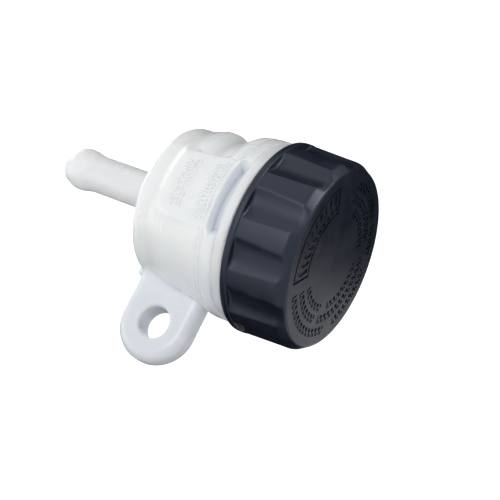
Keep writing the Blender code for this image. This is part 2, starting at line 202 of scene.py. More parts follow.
def front_wall(point, angle):
    """Fill the waist between the pad and the ear, where the wall stands almost flush."""
    inside = waist_radius - 0.0005
    foot, top = -0.0125, -0.0040
    middle, half_width, fade = radians(-40), radians(52), radians(16)
    fullest, below_pad = 0.92, 0.0001
    if point.x < inside or not foot < point.y < top:
        return point
    off = abs((angle - middle + pi) % tau - pi)
    share = min(max((half_width - off) / fade, 0.0), 1.0) * fullest
    flush = pad_radius(point.y) - below_pad
    return Vector((point.x + share * max(flush - point.x, 0.0), point.y))


def pad_share(angle, height, edge, soft):
    """1 on the pad, 0 on the plain wall; the pad's sides fade out more softly near its foot."""
    foot_starts, foot_deep, widening = -0.0120, 0.0016, 2
    off = abs((angle + pi / 2 + pi) % tau - pi)
    near_foot = min(max((foot_starts - height) / foot_deep, 0.0), 1.0)
    share = min(max((off - edge) / (soft * (1 + widening * near_foot)) + 0.5, 0.0), 1.0)
    return 1.0 - share * share * (3 - 2 * share)


def vessel_shell():
    """Walls inside and out, as one closed grid of rows turned about the axis."""
    plain, sector = vessel_corners()
    longest, coarse = 0.0013, radians(2.6)
    rows = close_rows(filleted(plain), filleted(sector), longest)
    edge, soft = radians(24.5), radians(4.0)
    bm = bmesh.new()
    columns = []
    for angle in pad_columns(edge, soft, coarse):
        points = [front_wall(here, angle).lerp(there, pad_share(angle, here.y, edge, soft))
                  for here, there in rows]
        columns.append([bm.verts.new((p.x * cos(angle), p.x * sin(angle), p.y + collar_z))
                        for p in points])
    count = len(rows)
    for one, two in zip(columns, columns[1:] + columns[:1]):
        for row in range(count):
            after = (row + 1) % count
            bm.faces.new((one[row], one[after], two[after], two[row]))
    bmesh.ops.remove_doubles(bm, verts=bm.verts, dist=2e-6)
    bmesh.ops.recalc_face_normals(bm, faces=bm.faces)
    return mesh_object("reservoir_vessel", bm)


ear_reach = 0.0248
ear_drop = 0.0117
ear_radius = body_high.x - ear_reach
ear_half = 0.0028
ear_round = 0.0021
root_fillet = 0.0032


def ear_shape():
    """Ear with a round end and rounded edges, flared into the vessel's wall at its root."""
    flare = sqrt((lower_radius + root_fillet) ** 2 - (ear_half + root_fillet) ** 2)
    foot = flare * lower_radius / (lower_radius + root_fillet)
    edge_steps, flare_steps, end_steps = 8, 12, 56
    stations = [cavity_radius + 0.0010]
    stations += [foot + (flare - foot) * step / flare_steps for step in range(flare_steps + 1)]
    end = [(-pi / 2 + pi * step / end_steps) for step in range(end_steps + 1)]
    outline = [(x, -ear_drop - ear_radius, 0.0, -1.0) for x in stations]
    outline += [(ear_reach + ear_radius * cos(a), -ear_drop + ear_radius * sin(a), cos(a), sin(a))
                for a in end]
    outline += [(x, -ear_drop + ear_radius, 0.0, 1.0) for x in reversed(stations)]
    bm = bmesh.new()
    loops = []
    for x, z, out_x, out_z in outline:
        back = max(flare - max(x, foot), 0.0)
        half = ear_half + root_fillet - sqrt(max(root_fillet ** 2 - back ** 2, 0.0))
        loop = []
        for side in (-1, 1):
            for step in range(edge_steps + 1):
                turn = pi / 2 * (step if side < 0 else edge_steps - step) / edge_steps
                inset = ear_round * (1 - sin(turn))
                y = side * (half - ear_round * (1 - cos(turn)))
                loop.append(bm.verts.new((x - out_x * inset, y, z - out_z * inset + collar_z)))
        loops.append(loop)
    for one, two in zip(loops, loops[1:]):
        for a, b, c, d in zip(one, two, two[1:], one[1:]):
            bm.faces.new((a, b, c, d))
    bm.faces.new(loops[0] + loops[-1][::-1])
    straight = len(stations)
    for side in (0, -1):
        for step in range(straight - 1):
            bm.faces.new((loops[step][side], loops[step + 1][side],
                          loops[-2 - step][side], loops[-1 - step][side]))
        bm.faces.new([loop[side] for loop in loops[straight - 1:len(loops) - straight + 1]])
    bmesh.ops.recalc_face_normals(bm, faces=bm.faces)
    return mesh_object("ear", bm)


def turned_tool(name, outline, steps, place, tilt, closed=False):
    """Shape turned from an outline (radius, height), closed or with both ends on its axis."""
    bm = bmesh.new()
    verts = [bm.verts.new((r, 0.0, z)) for r, z in outline]
    onward = verts[1:] + (verts[:1] if closed else [])
    edges = [bm.edges.new(pair) for pair in zip(verts, onward)]
    bmesh.ops.spin(bm, geom=verts + edges, cent=(0, 0, 0), axis=(0, 0, 1), angle=tau, steps=steps)
    bmesh.ops.remove_doubles(bm, verts=bm.verts, dist=1e-6)
    bmesh.ops.recalc_face_normals(bm, faces=bm.faces)
    made = mesh_object(name, bm)
    made.rotation_euler = (tilt, 0.0, 0.0)
    made.location = place
    return made


def bolt_hole_tool():
    """Spool that cuts the hole for the bolt and rounds both its rims."""
    hole, rim = 0.0033, 0.0007
    arc = [pi / 2 * step / 6 for step in range(7)]
    half = [(hole + rim - rim * cos(a), ear_half - rim + rim * sin(a)) for a in arc]
    half += [(hole + rim, ear_half + rim), (0.0, ear_half + rim)]
    outline = [(r, -z) for r, z in reversed(half)] + half
    return turned_tool("bolt_hole", outline, 64, (ear_reach, 0.0, collar_z - ear_drop), pi / 2)


def heel_shape():
    """Small heel with rounded edges at the foot of the ear, by the vessel's lower corner."""
    bm = bmesh.new()
    bmesh.ops.create_cube(bm, size=1.0)
    low, high = vessel_bottom + 0.0002, -ear_drop - ear_radius / 2
    root, reach = cavity_radius + 0.001, 0.0171
    width, rounding = 0.0044, 0.0009
    for vert in bm.verts:
        vert.co.x = root if vert.co.x < 0 else reach
        vert.co.y *= width
        vert.co.z = collar_z + (low if vert.co.z < 0 else high)
    bmesh.ops.bevel(bm, geom=bm.edges[:], offset=rounding, segments=5, affect="EDGES", profile=0.5)
    bmesh.ops.recalc_face_normals(bm, faces=bm.faces)
    return mesh_object("heel", bm)


def add_node(tree, kind, values=None, **settings):
    """Add a node, set its properties, and set or link its inputs by name or number."""
    made = tree.nodes.new(kind)
    for name, value in settings.items():
        setattr(made, name, value)
    for key, value in (values or {}).items():
        if isinstance(value, bpy.types.NodeSocket):
            tree.links.new(value, made.inputs[key])
        else:
            made.inputs[key].default_value = value
    return made


def number(tree, operation, *values):
    """Add a Math node on numbers or sockets and give its result."""
    return add_node(tree, "ShaderNodeMath", dict(enumerate(values)), operation=operation).outputs[0]


def new_group(name, kind, inputs, outputs):
    """A node tree with named inputs (name, type, default) and outputs (name, type)."""
    tree = bpy.data.node_groups.new(name, kind)
    for label, socket, default in inputs:
        made = tree.interface.new_socket(label, in_out="INPUT", socket_type="NodeSocket" + socket)
        if default is not None:
            made.default_value = default
    for label, socket in outputs:
        tree.interface.new_socket(label, in_out="OUTPUT", socket_type="NodeSocket" + socket)
    return tree, tree.nodes.new("NodeGroupInput").outputs, tree.nodes.new("NodeGroupOutput")


def grow(thing, tree, **values):
    """Put a Geometry Nodes tree on an object and set its named inputs."""
    modifier = thing.modifiers.new(tree.name, "NODES")
    modifier.node_group = tree
    for item in tree.interface.items_tree:
        key = item.name.lower().replace(" ", "_")
        if item.in_out == "INPUT" and key in values:
            modifier[item.identifier] = values[key]
    return thing


def plain_mesh(thing):
    """Freeze an object's modifiers into a mesh whose place is in its vertices."""
    evaluated = thing.evaluated_get(bpy.context.evaluated_depsgraph_get())
    mesh = bpy.data.meshes.new_from_object(evaluated)
    mesh.transform(evaluated.matrix_world)
    thing.modifiers.clear()
    thing.data = mesh
    thing.location = (0.0, 0.0, 0.0)
    thing.rotation_euler = (0.0, 0.0, 0.0)
    mesh.name = thing.name
    mesh.shade_smooth()
    mesh.set_sharp_from_angle(angle=sharp_edge)
    return thing


def thread_tree():
    """Geometry Nodes: a screw thread's ridge, which sinks into its wall at both ends."""
    tree, given, out = new_group("Thread", "GeometryNodeTree", [
        ("Root radius", "Float", 0.0162), ("Crest radius", "Float", 0.0168),
        ("Lead", "Float", 0.003), ("Turns", "Float", 2.0), ("Start height", "Float", 0.0),
        ("Start angle", "Float", 0.0), ("Root width", "Float", 0.0016),
        ("Crest width", "Float", 0.0007), ("Sink", "Float", 0.0003), ("Run out", "Float", 0.06),
        ("Finish", "Material", None)], [("Thread", "Geometry")])
    rise = number(tree, "MULTIPLY", given["Lead"], given["Turns"])
    spiral = add_node(tree, "GeometryNodeCurveSpiral", {
        "Resolution": 96, "Rotations": given["Turns"], "Start Radius": given["Root radius"],
        "End Radius": given["Root radius"], "Height": rise, "Reverse": False})
    along = add_node(tree, "GeometryNodeSplineParameter").outputs["Factor"]
    from_end = number(tree, "SUBTRACT", 1.0, along)
    near = number(tree, "DIVIDE", number(tree, "MINIMUM", along, from_end), given["Run out"])
    fullness = add_node(tree, "ShaderNodeMapRange", {"Value": near, "To Min": 0.02, "To Max": 1.0},
                        interpolation_type="SMOOTHSTEP").outputs[0]
    upright = add_node(tree, "GeometryNodeSetCurveNormal", {"Curve": spiral.outputs[0]},
                       mode="Z_UP")
    height = number(tree, "SUBTRACT", given["Crest radius"], given["Root radius"])
    sunk = number(tree, "MULTIPLY", given["Sink"], number(tree, "SIGN", height))
    crest = number(tree, "MULTIPLY", height, -1.0)
    corners = []
    for width, side, depth in (("Root width", -0.5, sunk), ("Crest width", -0.5, crest),
                               ("Crest width", 0.5, crest), ("Root width", 0.5, sunk)):
        across = number(tree, "MULTIPLY", given[width], side)
        corners.append(add_node(tree, "ShaderNodeCombineXYZ", {0: depth, 1: across}))
    section = add_node(tree, "GeometryNodeCurvePrimitiveQuadrilateral",
                       {f"Point {i + 1}": corner.outputs[0] for i, corner in enumerate(corners)},
                       mode="POINTS")
    ridge = add_node(tree, "GeometryNodeCurveToMesh", {
        "Curve": upright.outputs[0], "Profile Curve": section.outputs[0],
        "Scale": fullness, "Fill Caps": True})
    lift = add_node(tree, "ShaderNodeCombineXYZ", {2: given["Start height"]})
    turn = add_node(tree, "ShaderNodeCombineXYZ", {2: given["Start angle"]})
    placed = add_node(tree, "GeometryNodeTransform", {
        "Geometry": ridge.outputs[0], "Translation": lift.outputs[0], "Rotation": turn.outputs[0]})
    solid = add_node(tree, "GeometryNodeRealizeInstances", {0: placed.outputs[0]})
    dressed = add_node(tree, "GeometryNodeSetMaterial", {0: solid.outputs[0],
                                                         "Material": given["Finish"]})
    tree.links.new(dressed.outputs[0], out.inputs[0])
    return tree


def empty_mesh(name):
    """An object with no faces yet, for a Geometry Nodes tree to fill."""
    made = bpy.data.objects.new(name, bpy.data.meshes.new(name))
    bpy.context.collection.objects.link(made)
    return made


def join_shapes(target, tools, operation):
    """Unite shapes with a piece or cut them out of it."""
    for tool in tools:
        boolean = target.modifiers.new(tool.name, "BOOLEAN")
        boolean.operation = operation
        boolean.object = tool
        boolean.solver = "EXACT"
    plain_mesh(target)
    for tool in tools:
        bpy.data.objects.remove(tool)


def marks_tree():
    """Geometry Nodes: one mark repeated at even steps round the axis."""
    tree, given, out = new_group("Marks round the axis", "GeometryNodeTree", [
        ("Mark", "Object", None), ("Count", "Int", 12), ("Start angle", "Float", 0.0),
        ("Sweep", "Float", 1.0), ("Finish", "Material", None)], [("Marks", "Geometry")])
    shape = add_node(tree, "GeometryNodeObjectInfo", {"Object": given["Mark"]})
    index = add_node(tree, "GeometryNodeInputIndex").outputs[0]
    gaps = number(tree, "MAXIMUM", number(tree, "SUBTRACT", given["Count"], 1.0), 1.0)
    turned = number(tree, "DIVIDE", number(tree, "MULTIPLY", given["Sweep"], index), gaps)
    angle = number(tree, "ADD", given["Start angle"], turned)
    turn = add_node(tree, "ShaderNodeCombineXYZ", {2: angle})
    centres = add_node(tree, "GeometryNodePoints", {"Count": given["Count"]})
    copies = add_node(tree, "GeometryNodeInstanceOnPoints", {
        "Points": centres.outputs[0], "Instance": shape.outputs["Geometry"],
        "Rotation": turn.outputs[0]})
    solid = add_node(tree, "GeometryNodeRealizeInstances", {0: copies.outputs[0]})
    dressed = add_node(tree, "GeometryNodeSetMaterial", {0: solid.outputs[0],
                                                         "Material": given["Finish"]})
    tree.links.new(dressed.outputs[0], out.inputs[0])
    return tree


def bent_bar(name, corners, start, sweep, steps=1):
    """Bar with any section of corners (radius, height), bent round the axis."""
    bm = bmesh.new()
    loops = []
    for step in range(steps + 1):
        angle = start + sweep * step / steps
        loops.append([bm.verts.new((r * cos(angle), r * sin(angle), z)) for r, z in corners])
    for one, two in zip(loops, loops[1:]):
        for a, b, c, d in zip(one, one[1:] + one[:1], two[1:] + two[:1], two):
            bm.faces.new((a, b, c, d))
    bm.faces.new(loops[0])
    bm.faces.new(loops[-1])
    bmesh.ops.recalc_face_normals(bm, faces=bm.faces)
    return mesh_object(name, bm)


def marks_round(name, mark, count, start, sweep, finish):
    """A row of like marks round the axis, as one mesh; the mark itself is used up."""
    row = grow(empty_mesh(name), marks, mark=mark, count=count, start_angle=start, sweep=sweep,
               finish=finish)
    plain_mesh(row)
    bpy.data.objects.remove(mark)
    return row


def level_marks(finish):
    """Raised level lines on the pad, each with two staggered rows of small strokes below it."""
    proud, sunk, width = 0.00032, 0.0004, 0.00042 / pad_radius(0.0)
    line_tall, stroke_tall = 0.0004, 0.0010
    near_below, far_below = 0.0008, 0.0021
    shapes = []
    for label, line_z, reach, strokes in (("upper", -0.0031, 19.0, 15), ("lower", -0.0094, 16.0, 12)):
        half, pitch = radians(reach), radians(2 * reach) / strokes
        for kind, below, tall, sweep in (("line", 0.0, line_tall, 2 * half),
                                         ("near", near_below, stroke_tall, width),
                                         ("far", far_below, stroke_tall, width)):
            top, foot = line_z - below, line_z - below - tall
            corners = [(pad_radius(z) + lift, collar_z + z)
                       for z, lift in ((top, proud), (foot, proud), (foot, -sunk), (top, -sunk))]
            if kind == "line":
                shapes.append(bent_bar(f"{label}_line", corners, -pi / 2 - half, sweep, 12))
                continue
            stroke = bent_bar(f"{label}_{kind}", corners, -sweep / 2, sweep)
            first = -pi / 2 - half + pitch * (0.25 if kind == "near" else 0.75)
            shapes.append(marks_round(f"{label}_{kind}_strokes", stroke, strokes, first,
                                      pitch * (strokes - 1), finish))
    return shapes


def moulded_skin():
    """Shader group: the fine grain of a spark-eroded mould and slow waves of flow."""
    tree, given, out = new_group("Moulded skin", "ShaderNodeTree", [
        ("Grain size", "Float", 0.00025), ("Flow size", "Float", 0.006),
        ("Flow share", "Float", 0.5)], [("Height", "Float"), ("Tone", "Float")])
    place = add_node(tree, "ShaderNodeTexCoord").outputs["Object"]
    per_grain = number(tree, "DIVIDE", 1.0, given["Grain size"])
    per_flow = number(tree, "DIVIDE", 1.0, given["Flow size"])
    grain = add_node(tree, "ShaderNodeTexNoise", {
        "Vector": place, "Scale": per_grain, "Detail": 2.0, "Roughness": 0.6}).outputs[0]
    flow = add_node(tree, "ShaderNodeTexNoise", {
        "Vector": place, "Scale": per_flow, "Detail": 3.0, "Roughness": 0.55,
        "Distortion": 0.6}).outputs[0]
    height = add_node(tree, "ShaderNodeMix", {
        "Factor": given["Flow share"], "A": grain, "B": flow}, data_type="FLOAT").outputs[0]
    for label, value in (("Height", height), ("Tone", flow)):
        tree.links.new(value, out.inputs[label])
    return tree


def new_material(name):
    """A material with its shader, and the tree that its nodes go into."""
    finish = bpy.data.materials.new(name)
    finish.use_nodes = True
    shader = finish.node_tree.nodes["Principled BSDF"]
    return finish, finish.node_tree, shader


def skin_node(tree, **values):
    """Place the moulded skin group in a material with that material's own values."""
    made = tree.nodes.new("ShaderNodeGroup")
    made.node_tree = skin
    for name, value in values.items():
        made.inputs[name.capitalize().replace("_", " ")].default_value = value
    return made.outputs


def spread(tree, value, low, high):
    """Carry a mask from its usual middle range to a value between low and high."""
    return add_node(tree, "ShaderNodeMapRange", {
        "Value": value, "From Min": 0.3, "From Max": 0.7, "To Min": low, "To Max": high}).outputs[0]


def ramp(tree, value, low, high, start=0.0, end=1.0):
    """Smooth change from start to end while a value goes from low to high."""
    return add_node(tree, "ShaderNodeMapRange", {
        "Value": value, "From Min": low, "From Max": high, "To Min": start, "To Max": end},
        interpolation_type="SMOOTHSTEP").outputs[0]


def milky_finish():
    """Translucent polyethylene, with painted shade that makes it cooler and darker in the ear and in
    the slot.
    """
    ear_starts, ear_full = lower_radius - 0.004, lower_radius + 0.006
    slot_floor, slot_mouth, slot_front = 0.0160, 0.0184, -0.013
    slot_foot, slot_top = collar_z - 0.0024, collar_z + 0.0002
    line_core, line_edge, line_height = 0.00004, 0.00016, 0.35
    finish, tree, shader = new_material("milky_moulding")
    look = skin_node(tree, grain_size=0.0003, flow_size=0.007, flow_share=0.55)
    place = add_node(tree, "ShaderNodeTexCoord").outputs["Object"]
    side = add_node(tree, "ShaderNodeSeparateXYZ", {0: place}).outputs
    level = add_node(tree, "ShaderNodeVectorMath", {0: place, 1: (1.0, 1.0, 0.0)},
                     operation="MULTIPLY").outputs[0]
    radius = add_node(tree, "ShaderNodeVectorMath", {0: level}, operation="LENGTH").outputs["Value"]
    # Painted shade: masks for the ear, and for the slot's recess below the collar.
    ear_shade_mask = ramp(tree, side["X"], ear_starts, ear_full)
    slot_shade_mask = number(tree, "MULTIPLY", ramp(tree, radius, slot_floor, slot_mouth, 0.85, 0.0),
                     ramp(tree, side["Z"], slot_foot, slot_top, 1.0, 0.2))
    for edge in (number(tree, "LESS_THAN", side["Y"], slot_front),
                 number(tree, "GREATER_THAN", side["Z"], slot_foot)):
        slot_shade_mask = number(tree, "MULTIPLY", slot_shade_mask, edge)
    tint = add_node(tree, "ShaderNodeMix", {
        "Factor": spread(tree, look["Tone"], 0.0, 1.0), "A": (0.865, 0.915, 0.965, 1.0),
        "B": (0.92, 0.955, 0.985, 1.0)}, data_type="RGBA").outputs["Result"]
    # The painted shade: a cooler, darker colour mixed in wherever either mask holds.
    shade = add_node(tree, "ShaderNodeMix", {
        "Factor": number(tree, "MAXIMUM", ear_shade_mask, slot_shade_mask), "A": tint,
        "B": (0.76, 0.785, 0.835, 1.0)}, data_type="RGBA").outputs["Result"]
    tree.links.new(shade, shader.inputs["Base Color"])
    tree.links.new(spread(tree, look["Tone"], 0.21, 0.29), shader.inputs["Roughness"])
    parting = ramp(tree, number(tree, "ABSOLUTE", side["Y"]), line_core, line_edge, 1.0, 0.0)
    relief = number(tree, "ADD", look["Height"], number(tree, "MULTIPLY", parting, line_height))
    bump = add_node(tree, "ShaderNodeBump", {
        "Height": relief, "Strength": 0.35, "Distance": 0.00005}).outputs[0]
    tree.links.new(bump, shader.inputs["Normal"])
    shader.inputs["IOR"].default_value = 1.5
    shader.inputs["Subsurface Weight"].default_value = 1.0
    shader.inputs["Subsurface Radius"].default_value = (1.0, 0.96, 0.90)
    shader.inputs["Subsurface Scale"].default_value = 0.0025
    return finish


skin = moulded_skin()
milky = milky_finish()
thread = thread_tree()
marks = marks_tree()
thread_lead = 0.003
thread_start_z = collar_z + 0.0016
thread_start_angle = radians(-150)
reservoir = vessel_shell()
neck_thread = grow(empty_mesh("neck_thread"), thread, root_radius=neck_radius,
                   crest_radius=neck_radius + 0.0006, lead=thread_lead, turns=2.2,
                   start_height=thread_start_z, start_angle=thread_start_angle,
                   finish=milky)
plain_mesh(neck_thread)
join_shapes(reservoir, [ear_shape(), heel_shape(), neck_thread, *level_marks(milky)], "UNION")
join_shapes(reservoir, [bolt_hole_tool()], "DIFFERENCE")
reservoir.name = "reservoir"
reservoir.data.materials.clear()
reservoir.data.materials.append(milky)
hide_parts("reservoir_body")
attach(reservoir, "vessel")

# Diaphragm
# Moulded in one from soft black rubber. Its thick bead lies on the neck's rim with two fine
# sealing ribs on top, and the plate holds it down. One deep fold lets its middle follow the fluid.
rubber_low, rubber_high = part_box("diaphragm")


def diaphragm_outline():
    """Top side from the middle out to the bead, then the underside back to the middle."""
    bead_top, rim = rubber_high.z, rubber_high.x
    bead_foot = bead_top - 0.0018
    outer = cavity_radius - 0.0004
    rubber = 0.0010
    fold_out, fold_in = outer - rubber, outer - rubber - 0.0030
    middle = fold_in - rubber
    trough = rubber_low.z + rubber
    floor_top = trough + 0.0027
    rib_high, rib_wide = 0.00012, 0.00030
    ribs = []
    for r in (fold_out + 0.0010, fold_out + 0.0022):
        ribs += [(r - rib_wide, bead_top, 0.0001, 2), (r, bead_top + rib_high, 0.0002, 3),
                 (r + rib_wide, bead_top, 0.0001, 2)]
    rings = [(0.0, floor_top + 0.0003, 0.0, 0), (0.0009, floor_top + 0.0003, 0.0002, 3),
             (0.0012, floor_top, 0.0002, 3)]
    for r in (0.0035, 0.0065):
        rings += [(r - rib_wide, floor_top, 0.0002, 2), (r, floor_top + 0.0002, 0.0002, 3),
                  (r + rib_wide, floor_top, 0.0002, 2)]
    top = rings + [(fold_in, floor_top, 0.0009, 8), (fold_in, trough, 0.0009, 8),
                   (fold_out, trough, 0.0009, 8), (fold_out, bead_top, 0.0005, 5)] + ribs
    under = [(rim, bead_top, 0.0006, 6), (rim, bead_foot, 0.0006, 6), (outer, bead_foot, 0.0003, 3),
             (outer, rubber_low.z, 0.0014, 9), (middle, rubber_low.z, 0.0009, 8),
             (middle, floor_top - rubber, 0.0009, 8), (0.0, floor_top - rubber, 0.0, 0)]
    return filleted(top + under)


def rubber_finish():
    """Black moulded rubber with a dull bloom that gathers in soft patches."""
    finish, tree, shader = new_material("dull_rubber")
    look = skin_node(tree, grain_size=0.00035, flow_size=0.004, flow_share=0.35)
    tint = add_node(tree, "ShaderNodeMix", {
        "Factor": spread(tree, look["Tone"], 0.0, 1.0), "A": (0.014, 0.014, 0.015, 1.0),
        "B": (0.030, 0.030, 0.032, 1.0)}, data_type="RGBA")
    tree.links.new(tint.outputs["Result"], shader.inputs["Base Color"])
    tree.links.new(spread(tree, look["Tone"], 0.52, 0.68), shader.inputs["Roughness"])
    bump = add_node(tree, "ShaderNodeBump", {
        "Height": look["Height"], "Strength": 0.5, "Distance": 0.0001}).outputs[0]
    tree.links.new(bump, shader.inputs["Normal"])
    return finish


bellows = turned_tool("bellows", diaphragm_outline(), 96, (0.0, 0.0, 0.0), 0.0)
bellows.data.materials.append(rubber_finish())
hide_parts("diaphragm")
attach(bellows, "vessel")

# Diaphragm plate
# Disc moulded in uncoloured nylon that lies loose in the cap and presses the bead down without
# turning. A hole and four notches in its edge let air in, and six ribs below keep it flat.
plate_low, plate_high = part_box("diaphragm_plate")


def plate_shape(finish):
    """Disc with a vent hole, notches in its edge and ribs on its underside."""
    top, foot, radius = plate_high.z, plate_low.z, plate_high.x
    vent, edge = 0.0015, 0.0003
    recess = [(r, top - deep, 0.0001, 2) for r, deep in
              ((0.0060, 0.0), (0.0058, 0.0002), (0.0034, 0.0002), (0.0032, 0.0))]
    disc = turned_tool("plate_disc", filleted([
        (vent, top, 0.0002, 3), (vent, foot, 0.0002, 3), (radius, foot, edge, 4),
        (radius, top, edge, 4), *recess]), 96, (0.0, 0.0, 0.0), 0.0, closed=True)
    over = 0.001
    notch_in, notch_out, notch_half, notches = radius - 0.0015, radius + over, 0.0008, 4
    notch = prism("notch", [(notch_in, -notch_half), (notch_out, -notch_half),
                            (notch_out, notch_half), (notch_in, notch_half)],
                  foot - over, top + over)
    rib_in, rib_out, rib_half, ribs = 0.0030, 0.0118, 0.0003, 6
    rib_foot, rib_top = foot - 0.0008, foot + 0.0003
    rib = prism("plate_rib", [(rib_in, -rib_half), (rib_out, -rib_half), (rib_out, rib_half),
                              (rib_in, rib_half)], rib_foot, rib_top)
    rib_row = marks_round("plate_ribs", rib, ribs, 0.0, tau * (ribs - 1) / ribs, finish)
    join_shapes(disc, [rib_row], "UNION")
    notch_row = marks_round("notches", notch, notches, pi / notches,
                            tau * (notches - 1) / notches, finish)
    join_shapes(disc, [notch_row], "DIFFERENCE")
    return disc


def prism(name, outline, low, high):
    """Upright prism on an outline of points (x, y)."""
    bm = bmesh.new()
    base = [bm.verts.new((x, y, low)) for x, y in outline]
    lid = [bm.verts.new((x, y, high)) for x, y in outline]
    bm.faces.new(base)
    bm.faces.new(lid)
    for a, b, c, d in zip(base, base[1:] + base[:1], lid[1:] + lid[:1], lid):
        bm.faces.new((a, b, c, d))
    bmesh.ops.recalc_face_normals(bm, faces=bm.faces)
    return mesh_object(name, bm)


def nylon_finish():
    """Uncoloured nylon, slightly warm, with faint flow marks."""
    finish, tree, shader = new_material("uncoloured_nylon")
    look = skin_node(tree, grain_size=0.0003, flow_size=0.005, flow_share=0.6)
    tint = add_node(tree, "ShaderNodeMix", {
        "Factor": spread(tree, look["Tone"], 0.0, 1.0), "A": (0.58, 0.58, 0.55, 1.0),
        "B": (0.66, 0.66, 0.64, 1.0)}, data_type="RGBA")
    tree.links.new(tint.outputs["Result"], shader.inputs["Base Color"])
    tree.links.new(spread(tree, look["Tone"], 0.36, 0.46), shader.inputs["Roughness"])
    bump = add_node(tree, "ShaderNodeBump", {
        "Height": look["Height"], "Strength": 0.3, "Distance": 0.00008}).outputs[0]
    tree.links.new(bump, shader.inputs["Normal"])
    return finish


nylon = nylon_finish()
plate = plate_shape(nylon)
plate.name = "plate"
plate.data.materials.clear()
plate.data.materials.append(nylon)
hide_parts("diaphragm_plate")
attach(plate, "plate")

# Screw cap
# Injection moulded in black polypropylene, with twelve hollow grips and a plain band at its foot.
# Marks are sunk in its flat face, and it screws on by a thread between the turns of the neck's.
cap_height = -cap_low.z
band_radius = cap_high.y
grip_count = 12
grip_floor = 0.01805
grip_hollow = 0.0054
ridge_radius = 0.01893
ridge_foot = ridge_radius + 0.0004
cap_bore = 0.0170
cap_crown = 0.0022


def cap_rows():
    """Rows (radius, height, grip share, foot fillet) from the face's middle round to its back."""
    foot_z = -cap_height + 0.0015
    foot_round, foot_steps = 0.0006, 5
    chamfer_wide, chamfer_deep = 0.00125, 0.0019
    keeper_z, keeper_tall, keeper_radius = -0.0040, 0.0008, 0.0165
    edge = filleted([
        (0.0, 0.0, 0.0, 0), (ridge_radius - chamfer_wide, 0.0, 0.0009, 7),
        (ridge_radius, -chamfer_deep, 0.0016, 8), (ridge_foot, foot_z, 0.0, 0)])
    face = [(edge[1].x * share, 0.0, 0.0, 0.0) for share in (0.0, 0.3, 0.6, 0.85, 0.97)]
    rows = face + [(p.x, p.y, 1.0, 0.0) for p in edge[1:-1]]
    wall_top = edge[-2].y
    wall_rows = 6
    for step in range(1, wall_rows + 1):
        share = step / wall_rows
        z = wall_top + (foot_z + foot_round - wall_top) * share
        rows.append((ridge_radius + (ridge_foot - ridge_radius) * share, z, 1.0, 0.0))
    for step in range(1, foot_steps + 1):
        turn = pi / 2 * step / foot_steps
        rows.append((ridge_foot, foot_z + foot_round * (1 - sin(turn)), 1.0,
                     foot_round * (1 - cos(turn))))
    skirt = filleted([
        (ridge_foot - foot_round, foot_z, 0.0, 0), (band_radius, foot_z, 0.0003, 3),
        (band_radius, -cap_height, 0.0004, 4), (cap_bore + 0.0004, -cap_height, 0.0001, 2),
        (cap_bore, -cap_height + 0.0004, 0.0001, 2),
        (cap_bore, keeper_z - keeper_tall - (cap_bore - keeper_radius), 0.0, 0),
        (keeper_radius, keeper_z - keeper_tall, 0.0001, 2), (keeper_radius, keeper_z, 0.0001, 2),
        (cap_bore, keeper_z, 0.0, 0), (cap_bore, -cap_crown, 0.0003, 3)])
    rows += [(p.x, p.y, 0.0, 0.0) for p in skirt[1:]]
    return rows + [(0.0, -cap_crown, 0.0, 0.0)]


def grip_columns():
    """Angles round the cap, close together where a ridge turns down into its grips."""
    half_pitch = 180 / grip_count
    half = [0.0, 1.6, 3.2, 4.8, 6.0]
    half += [6.6 + 0.45 * step for step in range(9)]
    half += [11.2, 12.8, half_pitch]
    one = sorted({-offset for offset in half[:-1]} | set(half))
    return [radians(grip * 2 * half_pitch + offset) for grip in range(grip_count) for offset in one]


def cap_blank():
    """Cap before its grips are hollowed, with what each row takes of them kept beside it."""
    bm = bmesh.new()
    share = bm.verts.layers.float.new("grip_share")
    fillet = bm.verts.layers.float.new("grip_fillet")
    columns = []
    for angle in grip_columns():
        column = []
        for r, z, grip, foot in cap_rows():
            vert = bm.verts.new((r * cos(angle), r * sin(angle), z))
            vert[share] = grip
            vert[fillet] = foot
            column.append(vert)
        columns.append(column)
    for one, two in zip(columns, columns[1:] + columns[:1]):
        for a, b, c, d in zip(one, one[1:], two[1:], two):
            bm.faces.new((a, b, c, d))
    bmesh.ops.remove_doubles(bm, verts=bm.verts, dist=2e-6)
    bmesh.ops.recalc_face_normals(bm, faces=bm.faces)
    return mesh_object("cap_shell", bm)


